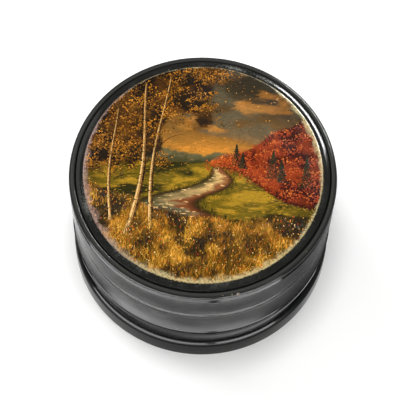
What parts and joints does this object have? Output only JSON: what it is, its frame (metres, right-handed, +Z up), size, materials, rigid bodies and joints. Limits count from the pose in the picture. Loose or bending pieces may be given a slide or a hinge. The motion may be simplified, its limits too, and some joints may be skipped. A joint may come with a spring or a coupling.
{
  "type": "lacquered tobacco box",
  "caption": "Round papier-mache tobacco box, lacquered black, with a pull-off lid on an inner sleeve, a beaded low-domed painted top, hollowed sides and a swelling foot.",
  "frame": {"origin": "middle of the plane that the foot rests on", "axes": "+Z up along the axis of the turned box; -Y is the front, from where the painting on the lid stands upright"},
  "size_m": [0.09, 0.09, 0.0555],
  "materials": {
    "black_lacquer": "polished black oil lacquer on papier-mache",
    "sleeve_lacquer": "black lacquer rubbed thin by the lid",
    "red_lacquer": "cinnabar red lacquer, satin",
    "oil_painting": "oil painting on a light ground under yellowed varnish, worn at the edge"
  },
  "bodies": {
    "box": {"foot_ring": "black_lacquer", "body_wall": "black_lacquer", "sleeve": "sleeve_lacquer", "bottom_plate": "red_lacquer"},
    "lid": {"lid_wall": "black_lacquer", "lid_plate": "black_lacquer", "painted_skin": "oil_painting"}
  },
  "joints": [
    {"name": "lid_lift", "type": "slide", "parent": "box", "child": "lid", "axis": [0, 0, 1], "range_m": [0, 0.04]}
  ]
}
